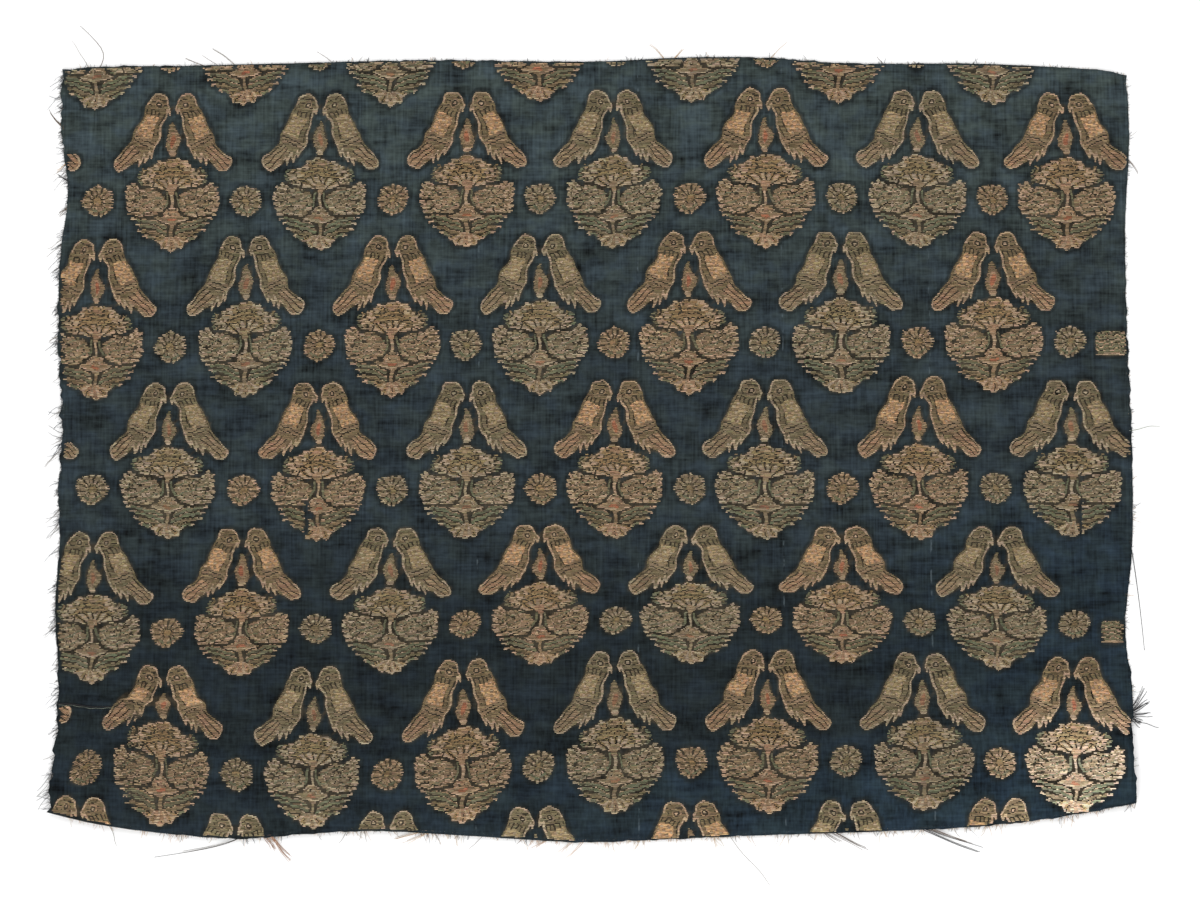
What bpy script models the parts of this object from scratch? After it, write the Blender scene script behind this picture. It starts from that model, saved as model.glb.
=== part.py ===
"""Brocade panel: a cut length of figured silk, lying face up, with its four frayed edges.

+X runs along the weft, to the right of the cloth seen face up. +Y runs up the warp, and
+Z is up. The panel is one sheet that lies on z = 0, with its long low swell near the
bottom edge, its creases and its raised corner. Each edge has a narrow frayed strip
with the loose threads that lie on the table round it.
"""

import math
import random

import bmesh
import bpy
from mathutils import Vector
from numpy import interp

# Driving sizes, in millimetres: the sheet, the frayed strip outside it and the gap between
# them, how far the strips and the threads keep from the corners, and a thread's widths.
MM = 0.001
CLOTH_THICK = 1.2
STRIP_THICK = 1.0
STRIP_WIDE = 3.0
GAP = 0.3
CORNER_CLEAR = 1.0
ROOT_CLEAR = 2.0
ROOT_WIDE = 0.8
TIP_WIDE = 0.5

# A thread's thickness, as a share of the strip's.
THREAD_SHARE = 0.5

# The outline. Each row is (along, out): how far along the edge a point lies, and how far out
# from the middle of the cloth. Top and bottom run along +X, left and right run along +Y.
OUTLINE = {
    "top": ((-283, 201), (-261, 202.5), (-219, 203), (-177, 204.5), (-93, 206), (12, 206),
            (34, 208), (97, 207.5), (118, 205), (202, 204), (245, 202.5), (265, 201), (277, 198.5)),
    "bottom": ((-283, 186.5), (-259, 193), (-218, 199), (-177, 201.5), (-156, 199), (-115, 197),
               (-74, 199), (-33, 202), (29, 201), (70, 199), (152, 196), (193, 193.5),
               (234, 190.5), (255, 187), (276, 182.5)),
    "left": ((-186.5, 283), (-170, 283), (-145, 281), (-114, 279.5), (-83, 283), (-42, 281),
             (-26, 282.5), (5, 281), (63, 284.5), (105, 284), (131, 280.5), (169, 284.5), (201, 283)),
    "right": ((-182.5, 276), (-150, 274.5), (-129, 275.5), (-98, 270.5), (-57, 274.5), (5, 276.5),
              (68, 275), (116, 275), (174, 278), (198.5, 277)),
}

# Each row is (from, to, cells): the cloth's grid is finer where its creases are.
COLUMN_BANDS = ((-280, -240, 6), (-240, 200, 24), (200, 274, 8))
ROW_BANDS = ((-184, -120, 9), (-120, 198, 18))

# Soft ridges. Each row is (from x, from y, to x, to y, half width, height).
RIDGES = {
    "lower swell": (-262, -176, 262, -163, 46, 5.0),
    "upper swell": (-200, 60, 210, 52, 56, 1.3),
    "tear's lip": (-276, -131, -246, -134, 9, 2.4),
    "corner crease": (-278, -154, -247, -151, 9, 2.0),
    "raised corner": (207, -158, 240, -190, 15, 3.0),
    "left pucker": (-276, 22, -266, -32, 14, 1.6),
}

# Long loose threads. Each row is (root, tip, reach, bow): where the root and the tip lie along
# the edge, how far the tip lies beyond it, and how far the middle bows along the edge.
LONG_THREADS = {
    "top": ((-269, -279, 15, 2), (-264, -275, 23, 7), (-206, -219, 4, 0),
            (-200, -210, 5.5, 1), (-191, -203, 9, 1), (-140, -149, 6, 1), (35, 26, 8, 1),
            (38, 44, 5, 1), (89, 98, 9, 0), (150, 146, 4, 0)),
    "bottom": ((-252, -248, 10, 1), (-184, -228, 13, 9), (-172, -167, 7, 0), (-169, -160, 12, 0),
               (-90, -104, 4, 0), (-86, -100, 5.5, 0), (-59, -67, 7, 0), (-26, -34, 4, 0),
               (-13, -21, 6.5, 0), (-8, -16, 8, 0), (66, 88, 26, -2), (114, 122, 5, 0),
               (118, 136, 9, -1), (164, 195, 12.5, -2), (168, 190, 8.5, -2), (238, 244, 4, 0)),
    "left": ((-157, -160, 6, 0), (3, -9, 8, 0), (60, 57, 5, 0), (128, 123, 4, 0),
             (141, 146, 5, 0), (152, 146, 5, 0), (170, 178, 6, -1)),
    "right": ((154, 146, 6, 1), (10, 13, 15, 0), (-48, -104, 9.5, 12), (-134, -124, 5, 0),
              (-136, -131, 9, 0), (-138, -138, 9, 0), (-140, -143, 14, 0)),
}

# Short fuzz. Each row is (count, shortest reach, longest reach).
FUZZ = {
    "top": (18, 1.0, 3.0),
    "bottom": (40, 1.5, 4.5),
    "left": (40, 1.5, 6.0),
    "right": (14, 1.0, 3.0),
}
FUZZ_SEED = 11
FUZZ_LEAN = 1.0
FUZZ_CLEAR = 2.2

# How many straight steps bend each thread.
THREAD_STEPS = 5
FUZZ_STEPS = 2

# Linear colour and roughness of each material.
FINISHES = {
    "navy_silk": ((0.026, 0.035, 0.042), 0.55),
    "loose_silk": ((0.21, 0.17, 0.12), 0.7),
}


def clear_scene():
    for old in list(bpy.data.objects):
        bpy.data.objects.remove(old)


def finish(name):
    colour, roughness = FINISHES[name]
    material = bpy.data.materials.new(name)
    material.use_nodes = True
    shader = material.node_tree.nodes["Principled BSDF"]
    shader.inputs["Base Color"].default_value = (*colour, 1.0)
    shader.inputs["Roughness"].default_value = roughness
    shader.inputs["Metallic"].default_value = 0.0
    return material


def stations(bands):
    """The places of the grid's lines, evenly spaced inside each band."""
    places = [bands[0][0]]
    for start, end, cells in bands:
        places += [start + (end - start) * step / cells for step in range(1, cells + 1)]
    return places


def outline(edge, along):
    """How far out the cloth reaches there, on a smooth curve through the outline's rows."""
    rows = OUTLINE[edge]
    along = min(max(along, rows[0][0]), rows[-1][0])
    at = max(i for i in range(len(rows) - 1) if rows[i][0] <= along)
    (a0, o0), (a1, o1) = rows[at], rows[at + 1]
    before = rows[max(at - 1, 0)]
    after = rows[min(at + 2, len(rows) - 1)]
    slope_0 = (o1 - before[1]) / (a1 - before[0])
    slope_1 = (after[1] - o0) / (after[0] - a0)
    span = a1 - a0
    t = (along - a0) / span
    return (
        (1 + 2 * t) * (1 - t) ** 2 * o0
        + t * (1 - t) ** 2 * span * slope_0
        + t * t * (3 - 2 * t) * o1
        + t * t * (t - 1) * span * slope_1
    )


def place(edge, along, out):
    """The plan position of a point given along an edge and out from the middle."""
    if edge == "top":
        return along, out
    if edge == "bottom":
        return along, -out
    if edge == "left":
        return -out, along
    return out, along


def lift(x, y):
    """How high the cloth's underside stands there: the highest of the soft ridges, or 0."""
    highest = 0.0
    for x0, y0, x1, y1, half, height in RIDGES.values():
        run = Vector((x1 - x0, y1 - y0))
        share = (Vector((x - x0, y - y0)) @ run) / run.length_squared
        near = min(max(share, 0.0), 1.0)
        away = (Vector((x - x0, y - y0)) - near * run).length / half
        if away < 1.0:
            highest = max(highest, height * math.cos(away * math.pi / 2) ** 2)
    return highest


def panel_edge(edge, along):
    """How far out the sheet's own side lies, inside the frayed strip."""
    return outline(edge, along) - STRIP_WIDE


def sheet_point(column, row):
    """A grid point of the sheet, blended between the left and right sides and the other two."""
    across = (column - COLUMNS[0]) / (COLUMNS[-1] - COLUMNS[0])
    up = (row - ROWS[0]) / (ROWS[-1] - ROWS[0])
    x = across * panel_edge("right", row) - (1 - across) * panel_edge("left", row)
    y = up * panel_edge("top", column) - (1 - up) * panel_edge("bottom", column)
    return x, y


def to_world(x, y, z):
    return Vector((x, y, z)) * MM


def grid_mesh(bm, across, up):
    """A flat grid whose vertices are returned by column and row."""
    bmesh.ops.create_grid(bm, x_segments=across, y_segments=up, size=0.5)
    ordered = sorted(bm.verts, key=lambda v: (round(v.co.x, 6), round(v.co.y, 6)))
    return [ordered[c * (up + 1) : (c + 1) * (up + 1)] for c in range(across + 1)]


def add_part(name, bm, material, collection):
    for face in bm.faces:
        if face.normal.z < 0:
            face.normal_flip()
    mesh = bpy.data.meshes.new(name)
    bm.to_mesh(mesh)
    bm.free()
    part = bpy.data.objects.new(name, mesh)
    part.data.materials.append(material)
    collection.objects.link(part)
    return part


def thicken(part, thick):
    """Gives the sheet its thickness upwards, so that its underside stays where it lies."""
    shell = part.modifiers.new("thickness", "SOLIDIFY")
    shell.thickness = thick * MM
    shell.offset = 1.0
    return shell


def add_panel(material, collection):
    bm = bmesh.new()
    grid = grid_mesh(bm, len(COLUMNS) - 1, len(ROWS) - 1)
    for column, verts in zip(COLUMNS, grid):
        for row, vert in zip(ROWS, verts):
            x, y = sheet_point(column, row)
            vert.co = to_world(x, y, lift(x, y))
    bm.normal_update()
    part = add_part("panel", bm, material, collection)
    thicken(part, CLOTH_THICK)


def side_line(edge):
    """The sheet's side as (along, out) points, one for each grid line that meets it."""
    if edge in ("top", "bottom"):
        row = ROWS[-1] if edge == "top" else ROWS[0]
        points = [sheet_point(column, row) for column in COLUMNS]
        return [(x, abs(y)) for x, y in points]
    column = COLUMNS[-1] if edge == "right" else COLUMNS[0]
    points = [sheet_point(column, row) for row in ROWS]
    return [(y, abs(x)) for x, y in points]


def swept(edge):
    """The stretches of an edge that its long threads lie over."""
    rows = LONG_THREADS[edge]
    return [(min(root, tip) - FUZZ_CLEAR, max(root, tip) + FUZZ_CLEAR) for root, tip, _, _ in rows]


def fuzz_threads(edge, first, last):
    """Short threads spread along an edge, clear of each other and of the long ones."""
    count, shortest, longest = FUZZ[edge]
    draw = random.Random(FUZZ_SEED + len(edge))
    pitch = (last - first) / count
    rows = []
    for i in range(count):
        root = first + (i + draw.uniform(0.3, 0.7)) * pitch
        reach = draw.uniform(shortest, longest)
        lean = draw.uniform(-FUZZ_LEAN, FUZZ_LEAN)
        if all(not low < root < high for low, high in swept(edge)):
            rows.append((root, root + lean, reach, 0.0))
    return rows


def clear_of_lines(root, line):
    """Moves a root along the edge until no grid line of the sheet meets it."""
    while any(abs(root - along) < ROOT_WIDE for along, _ in line):
        root += ROOT_WIDE / 4
    return root


def thread_path(edge, start, tip, reach, bow, steps):
    """Points on a smooth bend from the root to the tip, as (along, out)."""
    from_out = outline(edge, start)
    to_out = outline(edge, tip) + reach
    mid = ((start + tip) / 2 + bow, (from_out + to_out) / 2)
    points = []
    for step in range(steps + 1):
        t = step / steps
        along = (1 - t) ** 2 * start + 2 * t * (1 - t) * mid[0] + t * t * tip
        out = (1 - t) ** 2 * from_out + 2 * t * (1 - t) * mid[1] + t * t * to_out
        points.append((along, out))
    return points


def grow_thread(bm, edge, drawn_edge, path):
    """Draws a thread out of the strip's outer side, flat on the table and narrower to its tip."""
    for step, (along, out) in enumerate(path[1:], 1):
        wide = ROOT_WIDE + (TIP_WIDE - ROOT_WIDE) * step / (len(path) - 1)
        before = path[step - 1]
        run = Vector((along - before[0], out - before[1])).normalized()
        side = Vector((run.y, -run.x)) * wide / 2
        drawn = bmesh.ops.extrude_edge_only(bm, edges=[drawn_edge])["geom"]
        drawn_edge = next(item for item in drawn if isinstance(item, bmesh.types.BMEdge))
        corners = [(along - side.x, out - side.y), (along + side.x, out + side.y)]
        ends = [to_world(*place(edge, *corner), 0.0) for corner in corners]
        near, far = drawn_edge.verts
        if (near.co - ends[0]).length > (near.co - ends[1]).length:
            ends.reverse()
        near.co, far.co = ends


def frayed_sheet(edge, line, rooted, first, last):
    """The strip along an edge and its threads, as one flat sheet. The strip's points come first."""
    places = [along for along, _ in line if first < along < last] + [first, last]
    places += [root + sign * ROOT_WIDE / 2 for root in rooted for sign in (-1, 1)]
    places.sort()
    bm = bmesh.new()
    grid = grid_mesh(bm, len(places) - 1, 1)
    for along, (inner, outer) in zip(places, grid):
        inside = float(interp(along, [a for a, _ in line], [o for _, o in line])) + GAP
        for vert, out in ((inner, inside), (outer, outline(edge, along))):
            x, y = place(edge, along, out)
            vert.co = to_world(x, y, lift(x, y))
    for root, (tip, reach, bow, steps) in rooted.items():
        start = places.index(root - ROOT_WIDE / 2)
        root_edge = bm.edges.get((grid[start][1], grid[start + 1][1]))
        grow_thread(bm, edge, root_edge, thread_path(edge, root, tip, reach, bow, steps))
    bmesh.ops.recalc_face_normals(bm, faces=bm.faces)
    bm.normal_update()
    return bm, 2 * len(places)


def add_frayed_edge(edge, material, collection):
    line = side_line(edge)
    first, last = line[0][0] + CORNER_CLEAR, line[-1][0] - CORNER_CLEAR
    threads = [(*row, THREAD_STEPS) for row in LONG_THREADS[edge]]
    threads += [(*row, FUZZ_STEPS) for row in fuzz_threads(edge, first, last)]
    rooted = {
        clear_of_lines(root, line): rest
        for root, *rest in threads
        if first + ROOT_CLEAR < root < last - ROOT_CLEAR
    }
    bm, strip_points = frayed_sheet(edge, line, rooted, first, last)
    part = add_part(f"frayed_{edge}", bm, material, collection)
    strip = part.vertex_groups.new(name="strip")
    strip.add(list(range(strip_points)), 1.0, "REPLACE")
    shell = thicken(part, STRIP_THICK)
    shell.vertex_group = strip.name
    shell.thickness_vertex_group = THREAD_SHARE


COLUMNS = stations(COLUMN_BANDS)
ROWS = stations(ROW_BANDS)


def main():
    clear_scene()
    collection = bpy.data.collections.new("Brocade panel")
    bpy.context.scene.collection.children.link(collection)
    add_panel(finish("navy_silk"), collection)
    loose = finish("loose_silk")
    for edge in OUTLINE:
        add_frayed_edge(edge, loose, collection)


main()
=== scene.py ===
# %% [markdown]
# # A brocade panel, laid out flat
# The real object is a cut length of old figured silk. Its ground is a thin navy silk, its
# pattern is drawn by extra weft yarns that float over the ground, and its four edges have
# frayed. This lesson builds it in the same order: first the room, then the ground cloth, then
# the floats of the pattern one by one, and last the loose threads.

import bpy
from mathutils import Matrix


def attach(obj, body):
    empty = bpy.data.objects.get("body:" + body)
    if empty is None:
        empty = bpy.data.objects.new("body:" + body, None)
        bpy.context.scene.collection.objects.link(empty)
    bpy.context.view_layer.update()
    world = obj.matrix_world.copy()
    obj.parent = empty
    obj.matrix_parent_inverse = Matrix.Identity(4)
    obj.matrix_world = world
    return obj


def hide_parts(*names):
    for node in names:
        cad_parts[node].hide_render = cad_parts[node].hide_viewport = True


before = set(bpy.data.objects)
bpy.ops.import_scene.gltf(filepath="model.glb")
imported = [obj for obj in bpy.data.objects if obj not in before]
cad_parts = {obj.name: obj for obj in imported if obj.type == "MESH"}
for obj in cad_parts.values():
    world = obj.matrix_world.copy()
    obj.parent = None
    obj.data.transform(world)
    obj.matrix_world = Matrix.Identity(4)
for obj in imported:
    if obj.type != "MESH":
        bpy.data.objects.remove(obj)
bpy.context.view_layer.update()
print("solids:", sorted(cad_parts))

# %% Modules, and the unit that the tables are written in
import math

import bpy
import numpy as np
from mathutils import Vector

MM = 0.001
BODY = "root"
draw = np.random.default_rng(20)
print("the tables are in units of", MM, "m")


# %% [markdown]
# ## The room
# The cloth lies on a white table and is seen from almost straight above. The camera stands
# 1.3 m away and leans a little, so the near edge looks a touch larger. A narrow lens keeps the
# cloth's sides straight. The light is soft and comes mostly from the near side, so that slopes
# that face the viewer are the bright ones. Standard colour keeps the table white and the silk
# as dark as it is.

# %% Camera
CAMERA_AWAY = 1.3
CAMERA_TILT = math.radians(4.9)
LENS = 75.0

bpy.ops.object.camera_add(
    location=(0.0, -CAMERA_AWAY * math.sin(CAMERA_TILT), CAMERA_AWAY * math.cos(CAMERA_TILT)),
    rotation=(CAMERA_TILT, 0.0, 0.0),
)
camera = bpy.context.object
camera.data.lens = LENS
camera.data.sensor_width = 36.0
scene = bpy.context.scene
scene.camera = camera
scene.view_settings.view_transform = "Standard"
print("camera height", round(camera.location.z, 3))

# %% Lights
NEAR_LIGHT = {"place": (-0.25, -1.5, 1.1), "size": 1.1, "power": 16.0}
FAR_LIGHT = {"place": (0.5, 1.2, 1.7), "size": 1.6, "power": 8.0}
SKY_STRENGTH = 0.95


def soft_light(name, place, size, power):
    bpy.ops.object.light_add(type="AREA", location=place)
    light = bpy.context.object
    light.name = name
    light.data.size = size
    light.data.energy = power
    light.rotation_euler = Vector(place).to_track_quat("Z", "Y").to_euler()


soft_light("near_light", **NEAR_LIGHT)
soft_light("far_light", **FAR_LIGHT)
scene.world = scene.world or bpy.data.worlds.new("room")
scene.world.use_nodes = True
sky = scene.world.node_tree.nodes["Background"]
sky.inputs["Color"].default_value = (1.0, 1.0, 1.0, 1.0)
sky.inputs["Strength"].default_value = SKY_STRENGTH
print("lights:", [item.name for item in bpy.data.lights])


# %% [markdown]
# ## Shader maths as Python
# A cloth's finish is a sum of many small effects. Dragging that many Math nodes about by hand
# is slow, so one small class wraps a socket and lets Python's operators add the nodes. Another
# holds one material's tree and makes any other node.

# %% A socket that can be calculated with
class Wire:
    """A node's output. Python's operators on it add Math nodes."""

    def __init__(self, finish, socket):
        self.finish = finish
        self.socket = socket

    def math(self, operation, *others):
        return self.finish.node("Math", {"operation": operation}, [self, *others])["Value"]

    def __add__(self, other):
        return self.math("ADD", other)

    def __radd__(self, other):
        return self.math("ADD", other)

    def __mul__(self, other):
        return self.math("MULTIPLY", other)

    def __rmul__(self, other):
        return self.math("MULTIPLY", other)

    def __sub__(self, other):
        return self.math("SUBTRACT", other)

    def __rsub__(self, other):
        return self.finish.node("Math", {"operation": "SUBTRACT"}, [other, self])["Value"]


print("a socket's own methods:", [name for name in vars(Wire) if name not in vars(type)])


# %% A material whose nodes are written as expressions
class Finish:
    """One material: a Principled shader and the nodes that lead to it."""

    def __init__(self, name, **constants):
        self.material = bpy.data.materials.new(name)
        self.material.use_nodes = True
        self.tree = self.material.node_tree
        self.shader = self.tree.nodes["Principled BSDF"]
        for socket, value in constants.items():
            self.shader.inputs[socket.replace("_", " ")].default_value = value

    def plug(self, target, value):
        if isinstance(value, Wire):
            self.tree.links.new(value.socket, target)
        else:
            target.default_value = value

    def node(self, kind, settings=None, inputs=()):
        made = self.tree.nodes.new("ShaderNode" + kind)
        for key, value in (settings or {}).items():
            setattr(made, key, value)
        pairs = inputs.items() if isinstance(inputs, dict) else enumerate(inputs)
        for key, value in pairs:
            self.plug(made.inputs[key], value)
        return {socket.name: Wire(self, socket) for socket in made.outputs}

    def mix(self, share, first, second, blend="MIX"):
        made = self.tree.nodes.new("ShaderNodeMix")
        made.data_type = "RGBA"
        made.blend_type = blend
        made.clamp_factor = True
        for index, value in ((0, share), (6, first), (7, second)):
            self.plug(made.inputs[index], value)
        return Wire(self, made.outputs[2])

    def place(self):
        """The object's own coordinates, in metres."""
        return self.node("TexCoord")["Object"]

    def axes(self):
        return self.node("SeparateXYZ", None, [self.place()])

    def own_value(self, name, output):
        """A value or colour that is stored on the mesh's points."""
        return self.node("Attribute", {"attribute_name": name})[output]

    def shaded(self, colour, shade):
        """A colour made brighter or darker by a plain number."""
        grey = self.node("CombineColor", None, [shade, shade, shade])["Color"]
        return self.mix(1.0, colour, grey, "MULTIPLY")

    def streaks(self, x_size, y_size, detail=2.0):
        """Noise that is x_size long and y_size high, in metres, from 0 to 1."""
        scaled = self.node(
            "Mapping", None, {"Vector": self.place(), "Scale": (1 / x_size, 1 / y_size, 1 / x_size)}
        )["Vector"]
        inputs = {"Vector": scaled, "Scale": 1.0, "Detail": detail, "Roughness": 0.55}
        return self.node("TexNoise", None, inputs)["Fac"]

    def range(self, value, low, high, to_low=0.0, to_high=1.0):
        settings = {"interpolation_type": "SMOOTHSTEP"}
        return self.node("MapRange", settings, [value, low, high, to_low, to_high])["Result"]

    def bump(self, height, distance, strength=1.0):
        inputs = {"Height": height, "Distance": distance, "Strength": strength}
        return self.node("Bump", None, inputs)["Normal"]

    def connect(self, **sockets):
        for socket, value in sockets.items():
            self.plug(self.shader.inputs[socket.replace("_", " ")], value)


def linear(red, green, blue):
    """A colour as a picture shows it, from 0 to 255, turned into a shader's linear values."""
    shares = [value / 255 for value in (red, green, blue)]
    return [s / 12.92 if s < 0.04045 else ((s + 0.055) / 1.055) ** 2.4 for s in shares]


print("a middle grey of 128 is", round(linear(128, 128, 128)[0], 3), "to a shader")


# %% [markdown]
# ## The table
# A plane is enough for a table. It is a stage, not part of the cloth.

# %% White table
TABLE_SIZE = 8.0

bpy.ops.mesh.primitive_plane_add(size=TABLE_SIZE)
table = bpy.context.object
table.name = "table"
paint = Finish("white_table", Roughness=0.9)
grain = paint.streaks(0.4, 0.3)
white = paint.mix(grain, (*linear(240, 240, 240), 1), (*linear(246, 246, 246), 1))
paint.connect(Base_Color=white)
table.data.materials.append(paint.material)
print("table:", TABLE_SIZE, "m wide,", len(paint.tree.nodes), "nodes in its finish")


# %% [markdown]
# ## The cloth's outline and its folds
# The cut edges are not straight, and the silk does not lie quite flat: one long swell crosses
# it near the bottom, and a few short creases cross the corners. The tables hold those shapes
# in the cloth's own sizes, close to its solids', and functions read a smooth value from
# them at any place. Everything later asks these functions where the cloth is.

# %% Outline, as (along, out) rows in millimetres
OUTLINE = {
    "top": ((-283, 201), (-261, 202.5), (-219, 203), (-177, 204), (-93, 206), (12, 205.8),
            (34, 207), (97, 206.8), (118, 205), (202, 204), (245, 202), (265, 200.5), (277, 198)),
    "bottom": ((-283, 186.5), (-259, 192), (-218, 197.6), (-177, 199.8), (-156, 198), (-115, 196),
               (-74, 198), (-36, 200.4), (-12, 201.8), (29, 200.6), (70, 198.8), (152, 196), (193, 194),
               (234, 189.5), (255, 186), (276, 182)),
    "left": ((-186.5, 282.5), (-170, 281.5), (-145, 279.5), (-114, 279.5), (-83, 281.5), (-42, 280),
             (-26, 281), (5, 279.5), (63, 282.8), (105, 282), (131, 279), (169, 283),
             (201, 283)),
    "right": ((-182.5, 275), (-150, 273.4), (-129, 274.5), (-98, 271.3), (-57, 275.3),
              (5, 276.5), (68, 275), (116, 275), (174, 278), (198.5, 277)),
}
RAG_DEEP = {"top": 0.12, "bottom": 0.10, "left": 0.34, "right": 0.16}
LEFT_END, RIGHT_END, LOW_END, TOP_END = -283, 277, -186, 200


def outline(edge, along):
    """How far out the cut edge lies, on a smooth curve through its rows."""
    rows = np.array(OUTLINE[edge], float)
    fine = np.linspace(rows[0, 0], rows[-1, 0], 400)
    slopes = np.gradient(rows[:, 1], rows[:, 0])
    at = np.clip(np.searchsorted(rows[:, 0], fine) - 1, 0, len(rows) - 2)
    span = rows[at + 1, 0] - rows[at, 0]
    t = (fine - rows[at, 0]) / span
    smooth = (
        (1 + 2 * t) * (1 - t) ** 2 * rows[at, 1]
        + t * (1 - t) ** 2 * span * slopes[at]
        + t * t * (3 - 2 * t) * rows[at + 1, 1]
        + t * t * (t - 1) * span * slopes[at + 1]
    )
    return np.interp(along, fine, smooth)


def ragged(edge, along):
    """The small uneven bite of a frayed edge."""
    seed = len(edge) + RAG_DEEP[edge] * 9
    waves = ((19.0, 1.0), (11.3, 0.8), (7.9, 0.7), (5.1, 0.8))
    sway = 1.0 + 0.8 * np.sin(along / 31 + seed)
    return RAG_DEEP[edge] * sway * sum(
        size * np.sin(along / pitch * 2 * math.pi + seed * pitch) for pitch, size in waves
    )


print("cloth is about", outline("left", 0) + outline("right", 0), "mm wide")

# %% Folds, each a soft ridge from one point to another
FOLDS = {   # from x, from y, to x, to y, half width, height
    "lower swell": (-262, -176, 262, -163, 46, 5.0),
    "upper swell": (-200, 60, 210, 52, 56, 1.3),
    "tear's lip": (-276, -131, -246, -134, 9, 2.4),
    "corner crease": (-278, -154, -247, -151, 9, 2.0),
    "raised corner": (207, -158, 240, -190, 15, 3.0),
    "left pucker": (-276, 22, -266, -32, 14, 1.6),
}
CREASES = {   # finer ones that only the thin silk shows
    "crease under the left roundel": (-283, -166, -232, -175, 4.0, 0.9),
    "crease at the lower left": (-280, -153, -246, -149, 3.0, 0.7),
    "crease at the lower right": (214, -196, 232, -163, 5.0, 0.8),
    "pull below the tear": (-236, -134, -222, -140, 5.0, 0.7),
}
PUCKER_HIGH = 0.16
CLOTH_THICK = 0.7


def ridges(table_of_folds, x, y):
    highest = np.zeros(np.broadcast(x, y).shape)
    for x0, y0, x1, y1, half, height in table_of_folds.values():
        run = np.array((x1 - x0, y1 - y0), float)
        share = ((x - x0) * run[0] + (y - y0) * run[1]) / (run @ run)
        near = np.clip(share, 0.0, 1.0)
        away = np.hypot(x - x0 - near * run[0], y - y0 - near * run[1]) / half
        rise = height * np.cos(np.minimum(away, 1.0) * math.pi / 2) ** 2
        highest = np.maximum(highest, rise)
    return highest


def puckers(x, y):
    """Slight uneven waves, longer along the weft than up the warp."""
    slow = np.sin(x / 47 + 1.7 * np.sin(y / 61)) * np.sin(y / 13 + 0.8 * np.sin(x / 38))
    quick = np.sin(x / 21 + y / 55) * np.sin(y / 6.5 + 1.1 * np.sin(x / 24))
    return PUCKER_HIGH * (0.7 * slow + 0.3 * quick + 1.0)


print("highest fold:", round(float(ridges(FOLDS, *np.mgrid[-280:280:5, -200:200:5]).max()), 2), "mm")


# %% [markdown]
# ## Where the pattern's motifs lie
# The weaver repeated one unit over the whole cloth: two birds that face each other with a bud
# between them, over a round flowering shrub. Between the shrubs lie small rosettes. Every
# second row is shifted by half a step. Old silk stretches, so each unit's middle, height on
# the cloth and size are written down, and the rows of weft run smoothly between them. In the
# row of the tear the silk below has slid up under the torn lip, so a part of a bird is hidden.

# %% The rows of units, in millimetres
UNIT_TALL = 84.5
ROWS = (   # middle of each pair along X, the heads' tops along Y, how tall each unit is, tints
    ((-265, -187, -110.5, -32.5, 48.5, 125.5, 206.5), (265.5, 268, 267.5, 270, 269.5, 269.5, 268.5),
     (87, 87, 87, 87, 87, 87, 87), "gogogog"),
    ((-224.5, -147, -70, 7, 86.5, 166.5, 244.5), (188, 188, 189.5, 190, 191, 190, 188.5),
     (84.6, 84.1, 84.1, 85.1, 85.7, 84.6, 84.6), "ogogogo"),
    ((-263, -185, -108.5, -31.5, 46, 125.5, 205), (110.5, 112.5, 112.5, 113, 114.5, 115, 114.5),
     (85.3, 85.8, 85.8, 84.8, 86.4, 86.9, 85.3), "ogogogo"),
    ((-224.5, -146.5, -69.5, 7.5, 85.5, 165.5, 245), (35, 35.5, 36, 36.5, 37, 38.5, 36.5),
     (81.9, 84, 83.4, 83.4, 84.5, 86.1, 82.9), "gogogog"),
    ((-262.5, -185.5, -108.5, -31, 46.5, 125, 205), (-43, -40.5, -40.5, -38.5, -39.5, -39.5, -40),
     (78.5, 77.5, 76.4, 73.9, 71.8, 71.8, 74.4), "gogogog"),
    ((-225, -147.5, -70.5, 7.5, 86, 166, 243.5), (-111.5, -112.5, -108.5, -104, -103.5, -105, -107.5),
     (82.9, 83.4, 84.4, 84, 84.5, 81.4, 81.4), "ogogogo"),
    ((-266.5, -187, -108.5, -33, 46, 126.5, 204.5), (-178, -187.5, -186.2, -183.5, -180.5, -180.5, -179.5),
     (82, 82, 82, 82, 82, 82, 82), "ogggogo"),
)
WIDTHS = (0.99, 0.98, 1.0, 1.005, 1.04, 1.03, 1.03)
ROSETTE_DOWN = 57.2
CUT_PAIRS = {1: (-303.7, 0.0), 3: (-302.4, 0.0), 5: (-302.9, -10.5)}
CUT_BLOCKS = {2: (268.5, 58.4), 4: (268.8, 62.0)}
TORN_ROW = 5
SLID_DOWN = (17, 26, 38, 82), (0.0, 8.0, 7.5, 0.0)
SLID_ACROSS = (-276, -262, -240, -218, -195, -170), (0, 1, 1, 0.5, 0.4, 0)


def weft_line(row, x, down):
    """How far up the cloth the weft lies, a given way down from the heads of that row."""
    middles, tops, tall, _ = ROWS[row]
    level = np.interp(x, middles, tops) - down * np.interp(x, middles, tall) / UNIT_TALL
    if row == TORN_ROW:
        level = level + np.interp(down, *SLID_DOWN) * np.interp(x, *SLID_ACROSS)
    return level


print("units:", sum(len(row[0]) for row in ROWS))


# %% [markdown]
# ## Drawing a motif as the weaver's chart
# A weaver draws a motif on squared paper and picks a yarn for each square. The same is done
# here by formula: a few simple shapes, an ellipse or a tapered limb, say which squares are
# inside, and each part of the bird or the shrub is painted over the last. Distances are in
# millimetres, across from the unit's middle and down from the birds' heads.

# %% Yarns and simple shapes
NONE, PALE, BEIGE, OLIVE, GAP, WARM, RUST, SAGE, WING, GOLD = range(10)


def ellipse(x, y, middle_x, middle_y, half_wide, half_high):
    """Below 0 inside the ellipse."""
    return np.hypot((x - middle_x) / half_wide, (y - middle_y) / half_high) - 1.0


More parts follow.
